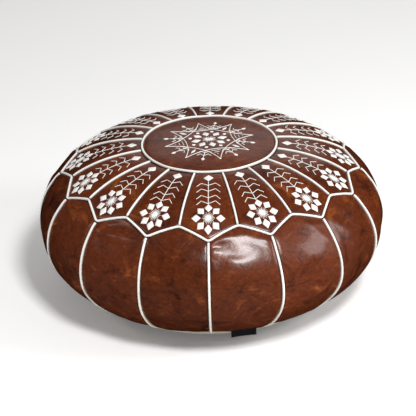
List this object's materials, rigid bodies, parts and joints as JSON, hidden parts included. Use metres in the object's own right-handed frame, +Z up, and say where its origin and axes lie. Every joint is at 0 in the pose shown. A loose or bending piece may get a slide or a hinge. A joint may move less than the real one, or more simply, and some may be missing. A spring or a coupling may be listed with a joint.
{
  "type": "moroccan leather pouf",
  "caption": "Round stuffed leather floor pouf, embroidered petal-shaped top panels with white piping, side panels with a zigzag seam, zip in the base",
  "frame": {"origin": "middle of the underside, on the floor that the pouf stands on", "axes": "+Z up through the middle of the medallion; -Y is the front, with the label; +X is to the right seen from the front, along the zip"},
  "size_m": [0.565, 0.565, 0.2537],
  "materials": {
    "leather_brown": "satin",
    "leather_dark": "satin",
    "piping_white": "satin",
    "thread_white": "satin",
    "label_black": "satin",
    "tape_brown": "matte",
    "zip_brass": "satin",
    "calico": "matte",
    "filling_white": "matte"
  },
  "bodies": {
    "root": {"medallion_panel": "leather_brown", "petal_panel_01": "leather_brown", "petal_panel_02": "leather_brown", "petal_panel_03": "leather_brown", "petal_panel_04": "leather_brown", "petal_panel_05": "leather_brown", "petal_panel_06": "leather_brown", "petal_panel_07": "leather_brown", "petal_panel_08": "leather_brown", "petal_panel_09": "leather_brown", "petal_panel_10": "leather_brown", "petal_panel_11": "leather_brown", "petal_panel_12": "leather_brown", "petal_panel_13": "leather_brown", "petal_panel_14": "leather_brown", "petal_panel_15": "leather_brown", "petal_panel_16": "leather_brown", "side_panel_01": "leather_brown", "side_panel_02": "leather_brown", "side_panel_03": "leather_brown", "side_panel_04": "leather_brown", "side_panel_05": "leather_brown", "side_panel_06": "leather_brown", "side_panel_07": "leather_brown", "side_panel_08": "leather_brown", "side_panel_09": "leather_brown", "side_panel_10": "leather_brown", "side_panel_11": "leather_brown", "side_panel_12": "leather_brown", "side_panel_13": "leather_brown", "side_panel_14": "leather_brown", "side_panel_15": "leather_brown", "side_panel_16": "leather_brown", "base_panel_front": "leather_dark", "base_panel_back": "leather_dark", "zip_end_tabs": "leather_dark", "medallion_piping": "piping_white", "petal_piping": "piping_white", "crown_piping": "piping_white", "side_piping": "piping_white", "base_piping": "piping_white", "medallion_embroidery": "thread_white", "petal_embroidery": "thread_white", "woven_label": "label_black", "zip_tape_front": "tape_brown", "zip_tape_back": "tape_brown", "zip_teeth_front": "zip_brass", "zip_teeth_back": "zip_brass", "zip_stops": "zip_brass", "inner_bag": "calico", "filling": "filling_white"},
    "slider": {"zip_slider": "zip_brass"},
    "pull_tab": {"zip_pull_tab": "zip_brass"}
  },
  "joints": [
    {"name": "zip_slide", "type": "slide", "parent": "root", "child": "slider", "axis": [1, 0, 0], "range_m": [0, 0.248]},
    {"name": "pull_tab_hinge", "type": "hinge", "parent": "slider", "child": "pull_tab", "pos_m": [-0.124, 0, 0.003], "axis": [0, 1, 0], "range_deg": [0, 180]}
  ]
}
